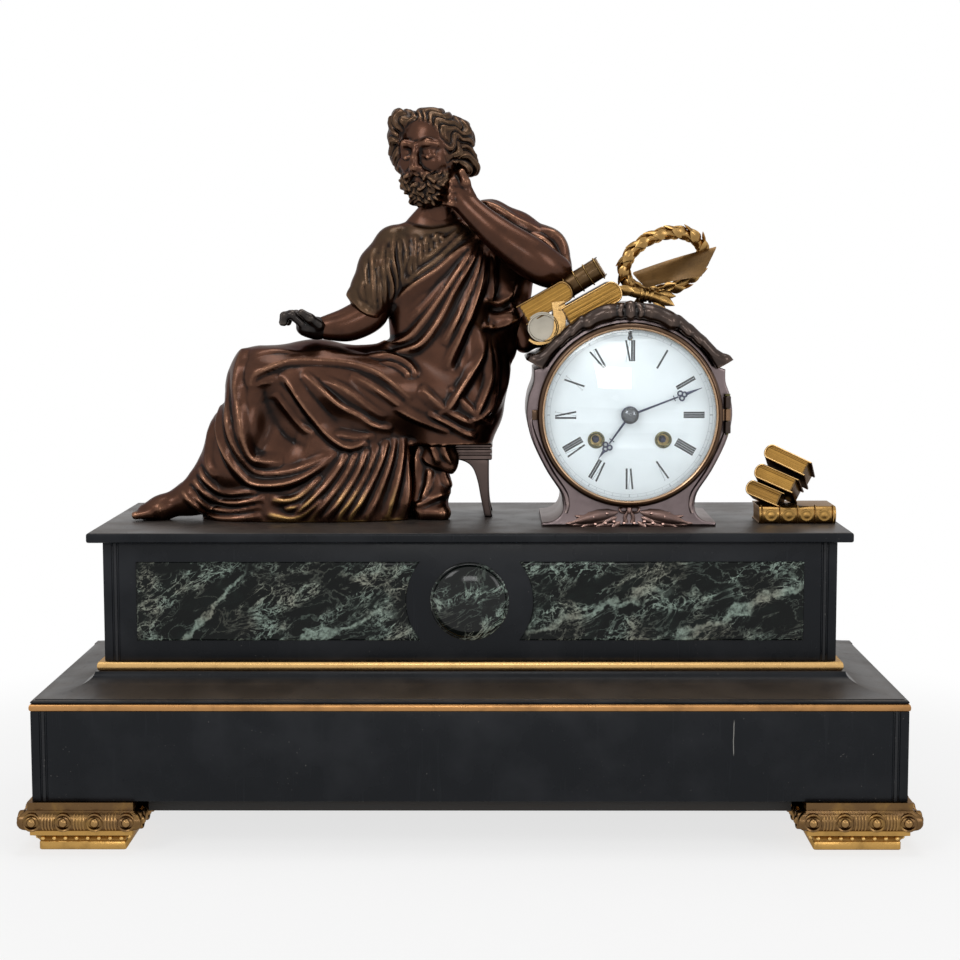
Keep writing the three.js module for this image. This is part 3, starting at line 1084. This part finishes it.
function addBellAndHammer() {
  const shell = (radius, top) => [0, 0.3, 0.65, 1].map((share) => {
    const angle = (share * Math.PI) / 2;
    const hole = BELL_POST_RADIUS + FIT_GAP;
    return [hole + (radius - hole) * Math.cos(angle), BELL_RIM_Y + top * Math.sin(angle)];
  });
  const outer = shell(BELL_RADIUS, BELL_DEPTH);
  const inner = shell(BELL_RADIUS - BELL_WALL, BELL_DEPTH - BELL_WALL).reverse();
  add(drum, "bell", turnedY([...outer, ...inner, outer[0]], 20), BELL_METAL, BELL_X, 0, -BELL_DROP);

  const headRight = BELL_X - BELL_RADIUS - RUN_GAP - HAMMER_X;
  const headZ = -BELL_DROP - HAMMER_RISE;
  const tailBack = BACK_PLATE_Y - HAMMER_TAIL_SPACE;
  const tailFront = tailBack - HAMMER_TAIL_THICKNESS;
  const shankBack = HAMMER_Y + HAMMER_SHANK;
  const arbor = rod(HAMMER_RADIUS, tailFront, shankBack + JOIN_LAP, 10);
  const half = HAMMER_SHANK / 2;
  const headX = headRight - HAMMER_HEAD_LENGTH / 2;
  const shank = prismY(outline([[-half, 0], [half, 0], [headX + half, headZ], [headX - half, headZ]]),
    HAMMER_Y, shankBack);
  const headFront = (HAMMER_Y + shankBack - HAMMER_HEAD_DEPTH) / 2;
  const head = block(headRight - HAMMER_HEAD_LENGTH, headRight, headFront, headFront + HAMMER_HEAD_DEPTH,
    headZ - HAMMER_HEAD_HEIGHT / 2, headZ + HAMMER_HEAD_HEIGHT / 2);
  const tailAngle = Math.atan2(PIN_WHEEL[1] - HAMMER_RISE, PIN_WHEEL[0] - HAMMER_X);
  const tail = block(0, HAMMER_TAIL_LENGTH, tailFront, tailBack, -half, half).rotateY(-tailAngle);
  add(drum, "hammer", join(arbor, shank, head, tail), STEEL, HAMMER_X, 0, HAMMER_RISE);
}

// A pierced hand along +Z: slim stem, a trefoil of rings and a pointed tip
function handSolid(length, hub, bore, y0) {
  const neck = length * 0.62;
  const ringRadius = length * 0.05;
  const half = HAND_STEM / 2;
  const shoulder = neck + 3 * ringRadius;
  const stem = outline([[-half, 0], [-0.7 * half, neck], [-0.9 * half, shoulder], [0, length],
    [0.9 * half, shoulder], [0.7 * half, neck], [half, 0]]);
  const layer = (shape) => prismY(shape, y0, y0 + HAND_THICKNESS, 0, 6);
  const rings = [[-1.25, 0], [1.25, 0], [-0.8, 1.9], [0.8, 1.9]].map(([x, z]) =>
    tubeY(ringRadius, ringRadius * 0.5, y0, y0 + HAND_THICKNESS, 8)
      .translate(x * ringRadius, 0, neck + (z + 0.8) * ringRadius));
  const body = join(layer(stem), layer(round(hub, 0, 0, 16)), ...rings);
  return cut(body, rod(bore, y0 - CUT_PAST, y0 + HAND_THICKNESS + CUT_PAST, 12));
}

function addMotionWork() {
  const [cannonRadius, minuteRadius] = pair(CANNON_TEETH, MINUTE_TEETH, MOTION_DISTANCE);
  const [minutePinionRadius, hourRadius] = pair(MINUTE_PINION_TEETH, HOUR_TEETH, MOTION_DISTANCE);
  const [cannonPhase, minutePhase] = meshing(0, 0, ...MINUTE_STUD, MINUTE_TEETH);
  const [minutePinionPhase, hourPhase] = meshing(...MINUTE_STUD, 0, 0, HOUR_TEETH);
  const minuteY = FRONT_PLATE_Y - MINUTE_WHEEL_SET;
  const hourY = FRONT_PLATE_Y - HOUR_WHEEL_SET;
  const minuteBack = minuteY + MOTION_WHEEL_THICKNESS;
  const hourBack = hourY + MOTION_WHEEL_THICKNESS;
  const hourHandY = DIAL_FRONT_Y - HAND_LIFT;
  const minuteHandY = hourHandY - HAND_THICKNESS - HAND_SPACE;
  const cannonBore = CENTRE_RADIUS + FIT_GAP;
  const hourBore = CANNON_TUBE_RADIUS + FIT_GAP;
  const studBore = STUD_RADIUS + FIT_GAP;
  const tube = tubeY(CANNON_TUBE_RADIUS, cannonBore, minuteHandY, FRONT_PLATE_Y - RUN_GAP, 12);
  const cannon = gear(CANNON_TEETH, cannonRadius, minuteY - CANNON_OVERHANG, minuteBack + CANNON_OVERHANG,
    cannonPhase, cannonBore);
  add(drum, "cannon_pinion", join(tube, cannon), STEEL);
  const minuteWheel = gear(MINUTE_TEETH, minuteRadius, minuteY, minuteBack, minutePhase, studBore);
  const minutePinion = gear(MINUTE_PINION_TEETH, minutePinionRadius, hourY - MINUTE_PINION_OVERHANG,
    minuteY + JOIN_LAP, minutePinionPhase, studBore);
  add(drum, "minute_wheel", join(minuteWheel, minutePinion), BRASS, MINUTE_STUD[0], 0, MINUTE_STUD[1]);
  const pipe = tubeY(HOUR_PIPE_RADIUS, hourBore, hourHandY, hourY + JOIN_LAP, 16);
  const hourWheel = gear(HOUR_TEETH, hourRadius, hourY, hourBack, hourPhase, hourBore);
  add(drum, "hour_wheel", join(pipe, hourWheel), BRASS);
  addHands(hourHandY, minuteHandY, cannonBore);
}

// The hands as the dial shows them, and the domed nut that holds the minute hand
function addHands(hourHandY, minuteHandY, nutBore) {
  const minuteTurn = (MINUTES_SHOWN / 60) * Math.PI * 2;
  const hourTurn = ((HOURS_SHOWN + MINUTES_SHOWN / 60) / 12) * Math.PI * 2;
  const hourHand = handSolid(HOUR_HAND_LENGTH, HOUR_HUB_RADIUS, HOUR_PIPE_RADIUS + FIT_GAP, hourHandY);
  add(drum, "hour_hand", hourHand.rotateY(hourTurn), BLUED_STEEL);
  const minuteBore = CANNON_TUBE_RADIUS + FIT_GAP;
  const minuteHand = handSolid(MINUTE_HAND_LENGTH, MINUTE_HUB_RADIUS, minuteBore, minuteHandY);
  add(drum, "minute_hand", minuteHand.rotateY(minuteTurn), BLUED_STEEL);
  const nutBack = minuteHandY - FIT_GAP;
  const nutFront = DIAL_FRONT_Y - NUT_REACH;
  const socket = nutFront + NUT_SKIN;
  const nut = turnedY([[0, nutFront], [NUT_CREST_RADIUS, nutFront], [NUT_RADIUS, nutFront + NUT_SLOPE],
    [NUT_RADIUS, nutBack], [nutBore, nutBack], [nutBore, socket], [0, socket]], 16);
  add(drum, "hand_nut", nut, STEEL);
}

// A bound book lying along X, rounded at its spine, centred on its own middle
function book(length, depth, thickness) {
  const [half, edge] = [length / 2, thickness / 2];
  const section = new THREE.Shape();
  section.moveTo(half, -edge);
  section.lineTo(half, edge);
  section.lineTo(-half, edge);
  section.quadraticCurveTo(-half - edge * 1.2, 0, -half, -edge);
  section.closePath();
  return prismY(section, -depth / 2, depth / 2, 0, 6);
}

// Turn about the upright, then tip in the front view, then move into place.
function setDown(geometry, tip, turn, x, y, z) {
  return geometry
    .rotateZ(THREE.MathUtils.degToRad(turn))
    .rotateY(THREE.MathUtils.degToRad(-tip))
    .translate(x, y, z);
}

// Stage group: figure and trophies measured from the top of the slab
const stage = new THREE.Group();
stage.position.set(0, 0, STAGE_Z);
clock.add(stage);

const canopyFront = CASE_FRONT_Y - CANOPY_FRONT_REACH - CUT_PAST;
const canopyTool = () => prismY(canopyShape(FIT_GAP), canopyFront, CASE_BACK_Y + CUT_PAST)
  .translate(DRUM_X, 0, DRUM_AXIS_HEIGHT);
const underCanopy = () => block(DRUM_X - CANOPY_EAR_HALF, DRUM_X + CANOPY_EAR_HALF, canopyFront,
  CASE_BACK_Y + CUT_PAST, 0, DRUM_AXIS_HEIGHT + CANOPY_EAR_RISE);

// A place on the canopy: so far beyond its top, at an angle about the dial centre, at a depth y
function onCanopy(beyond, degrees, y) {
  const [x, z] = polar(CANOPY_RISE + beyond, degrees);
  return [DRUM_X + x, y, DRUM_AXIS_HEIGHT + z];
}

// Everything under the level of the slab's top
const belowSlab = () => block(-PLINTH_HALF, PLINTH_HALF, PLINTH_FRONT, BACK_Y, -STAGE_Z / 2, 0);

// Two slanted books and a curled paper on the drum's left flank
function trophySolid(grow) {
  const [depth, thickness] = [BOOK_DEPTH + 2 * grow, BOOK_THICKNESS + 2 * grow];
  const upperBook = book(UPPER_BOOK_LENGTH + 2 * grow, depth, thickness);
  const upper = setDown(upperBook, 31, -24, ...onCanopy(15.9, 117.7, -8));
  const lowerBook = book(LOWER_BOOK_LENGTH + 2 * grow, depth, thickness + LOWER_BOOK_EXTRA);
  const lower = setDown(lowerBook, 27, 0, ...onCanopy(0.4, 108.5, -10));
  const paper = limb([[...onCanopy(4.5, 124.6, -14), 4, 12], [...onCanopy(12.5, 133.5, -14), 5, 12],
    [...onCanopy(8.7, 141, -14), 4, 12], [...onCanopy(0, 139.4, -14), 3, 12]], grow, 10, 8);
  return join(upper, lower, paper);
}

function addTrophies() {
  add(stage, "trophy_books", cut(trophySolid(0), canopyTool(), underCanopy()), GILT);
  const ringPoints = 2 * WREATH_LOBES;
  const sides = 6;
  const wreathPoints = Array.from({ length: ringPoints }, (_, i) => {
    const angle = (i / ringPoints) * Math.PI * 2;
    const tube = WREATH_TUBE * (0.82 + 0.25 * Math.abs(Math.sin((angle * WREATH_LOBES) / 2)));
    return Array.from({ length: sides }, (_, j) => {
      const turn = (j / sides) * Math.PI * 2;
      const reach = WREATH_RADIUS + tube * Math.cos(turn);
      return new THREE.Vector3(reach * Math.cos(angle), tube * Math.sin(turn), reach * Math.sin(angle));
    });
  });
  const faces = [];
  for (let i = 0; i < ringPoints; i++) {
    for (let j = 0; j < sides; j++) {
      const at = (a, b) => ((a + ringPoints) % ringPoints) * sides + ((b + sides) % sides);
      faces.push(at(i, j), at(i, j + 1), at(i + 1, j + 1), at(i, j), at(i + 1, j + 1), at(i + 1, j));
    }
  }
  const ring = new THREE.BufferGeometry().setFromPoints(wreathPoints.flat());
  ring.setIndex(faces);
  const wreath = ring.scale(1.12, 1, 0.78).rotateX(0.35).rotateY(-0.35);
  wreath.translate(...onCanopy(26.5, 76.5, -14));
  const leafSheet = block(-SHEET_LENGTH / 2, SHEET_LENGTH / 2, -SHEET_WIDTH / 2, SHEET_WIDTH / 2,
    -SHEET_THICKNESS / 2, SHEET_THICKNESS / 2);
  const sheet = setDown(leafSheet, 20, 12, ...onCanopy(21.3, 72, -12));
  const stem = limb([[...onCanopy(21.3, 66.3, -9), 3.4, 4], [...onCanopy(9.8, 67.5, -11), 3, 4],
    [...onCanopy(-1.4, 68.2, -13), 2.6, 4]], 0, 8, 4);
  const whole = join(wreath, sheet, stem);
  add(stage, "laurel_wreath", cut(whole, canopyTool(), underCanopy(), trophySolid(FIT_GAP)), GILT);

  addBookStack();
}

// Four books leaning together near the slab's right end
function addBookStack() {
  const x = BOX_HALF - STACK_INSET;
  const lowest = setDown(book(34, 46, STACK_BOOK_THICKNESS), 0, 90, x, STACK_Y, STACK_BOOK_THICKNESS / 2);
  const middle = setDown(book(30, 30, 10), -29, 0, x - 10, STACK_Y, 22);
  const highest = setDown(book(27, 28, 13), -27, 6, x - 2, STACK_Y, 35);
  const loose = setDown(book(20, 24, 6), 62, 0, x - 22.5, STACK_Y, 12);
  const core = block(x - 18, x + 8, STACK_Y - 12, STACK_Y + 12, STACK_BOOK_THICKNESS / 2, 24);
  const stack = join(lowest, middle, highest, loose, core);
  add(stage, "book_stack", cut(stack, belowSlab()), GILT);
}

// A stool with four sabre legs
function stoolSolid(grow) {
  const [left, right] = [SEAT_RIGHT_X - SEAT_LENGTH - grow, SEAT_RIGHT_X + grow];
  const underside = SEAT_HEIGHT - SEAT_THICKNESS;
  const seat = block(left, right, SEAT_FRONT_Y - grow, SEAT_FRONT_Y + SEAT_DEPTH + grow, underside - grow,
    SEAT_HEIGHT + grow);
  const profile = new THREE.Shape();
  const rootZ = underside + CUT_PAST;
  profile.moveTo(-LEG_TOE - grow, -grow);
  profile.lineTo(-LEG_HEEL + grow, -grow);
  profile.quadraticCurveTo(grow, underside * 0.5, -LEG_HEEL / 3 + grow, rootZ);
  profile.lineTo(-LEG_ROOT - grow, rootZ);
  profile.quadraticCurveTo(-LEG_TOE - CUT_PAST - grow, underside * 0.7, -LEG_TOE - grow, -grow);
  const legs = [];
  for (const y of [SEAT_FRONT_Y + LEG_INSET, SEAT_FRONT_Y + SEAT_DEPTH - LEG_THICKNESS - LEG_INSET]) {
    const leg = () => prismY(profile, y - grow, y + LEG_THICKNESS + grow, 0, 6);
    legs.push(leg().translate(SEAT_RIGHT_X, 0, 0));
    legs.push(leg().rotateZ(Math.PI).translate(SEAT_RIGHT_X - SEAT_LENGTH, 2 * y + LEG_THICKNESS, 0));
  }
  return join(seat, ...legs);
}

// Figure: seated towards -X, chest turned to the front, leaning on the books
const ELBOW = onCanopy(28.4, 117.1, -8);
const leftArm = (grow) => limb([[...ELBOW, 10, 10], [36, -12, 159, 11, 11], [18, -13, 172, 9.5, 9],
  [3, -11, 184, 7, 6.5], [-5, -10, 190, 8, 6], [-10, -8, 195, 6, 6]], grow, 8, 7);
const rightArm = (grow) => limb([[-57, 4, 128, 9, 9], [-62, 2, 119, 9.5, 9], [-73, 0, 116, 8.5, 8],
  [-85, -1, 115, 7, 6.5], [-97, -2, 119, 8, 6.5], [-112, -2, 123, 3.4, 4]], grow, 8, 7);

const HEAD_MASSES = [
  [-24, 6, 224, 20, 23, 24], [-24, 9, 234, 21, 21, 16], [-40, 9, 229, 9, 14, 15], [-8, 13, 228, 12, 15, 16],
  [-2, 15, 217, 8, 10, 9], [-27, -5, 201, 15, 12, 12], [-27, -5, 195, 10, 9, 7], [-26, -17, 220, 3, 5, 6],
];
const headSolid = (grow) => join(
  limb([[-18, 12, 182, 12, 12], [-22, 8, 206, 13, 13]], grow, 10, 2),
  ...HEAD_MASSES.map((mass) => ellipsoid(mass, grow)),
);

function addFigure() {
  const skirt = drapery([[-4, -92, 14, 79, 33], [12, -91, 14, 77, 32.5], [34, -89, 14, 75, 32],
    [58, -85, 14, 71, 30], [82, -84, 13, 66, 27], [100, -84, 12, 54, 20]], 11, 0.05, 33);
  const lap = limb([[-2, 18, 70, 24, 27], [-45, 14, 76, 27, 29], [-95, 10, 80, 27, 27],
    [-133, 6, 78, 24, 24]], 0, 14, 5);
  const torso = drapery([[50, -8, 18, 24, 26], [80, -12, 16, 34, 27], [103, -20, 14, 37, 25],
    [130, -22, 13, 41, 24], [155, -22, 13, 43, 22], [172, -18, 14, 36, 18], [185, -18, 12, 18, 15],
    [193, -20, 11, 12, 12]], 7, 0.04, 21);
  const sleeve = limb([[-44, 13, 166, 12, 13], [-52, 10, 154, 14, 15], [-57, 5, 138, 16, 15],
    [-57, 3, 127, 14, 13]], 0, 10, 4);
  const drape = limb([[4, 18, 172, 16, 16], [28, 20, 176, 16, 15], [46, 16, 164, 15, 15],
    [54, 10, 154, 12, 13]], 0, 10, 4);
  const cloak = drapery([[46, -10, 28, 19, 19], [78, 5, 26, 21, 19], [112, 14, 25, 22, 18],
    [140, 22, 24, 23, 17], [168, 26, 24, 23, 15]], 6, 0.05, 18);
  const foot = limb([[-158, 4, 24, 15, 13], [-172, 2, 13, 11, 11], [-190, 0, 7, 8, 11],
    [-201, -1, 5, 6, 9]], 0, 8, 4);
  const farFoot = limb([[-160, 22, 18, 11, 9], [-174, 20, 12, 9, 9], [-187, 19, 6, 6, 8]], 0, 8, 3);
  const body = join(skirt, lap, torso, sleeve, drape, cloak, foot, farFoot);
  const clearOf = [belowSlab(), headSolid(FIT_GAP), leftArm(FIT_GAP), rightArm(FIT_GAP), stoolSolid(FIT_GAP),
    trophySolid(FIT_GAP)];
  add(stage, "figure_body", cut(body, ...clearOf), PATINA);
  add(stage, "figure_head", headSolid(0), PATINA);
  add(stage, "figure_left_arm", cut(leftArm(0), headSolid(FIT_GAP), trophySolid(FIT_GAP)), PATINA);
  add(stage, "figure_right_arm", rightArm(0), PATINA);
  add(stage, "stool", stoolSolid(0), PATINA);
}

addFeet();
addBaseBoard();
addPlinth();
addTierMouldings();
addBox();
addBackSlab();
addTopSlab();
addDrumCase();
addDial();
addPlates();
addTrains();
addAnchor();
addPendulum();
addSuspension();
addBellAndHammer();
addMotionWork();
addTrophies();
addFigure();

export default clock;
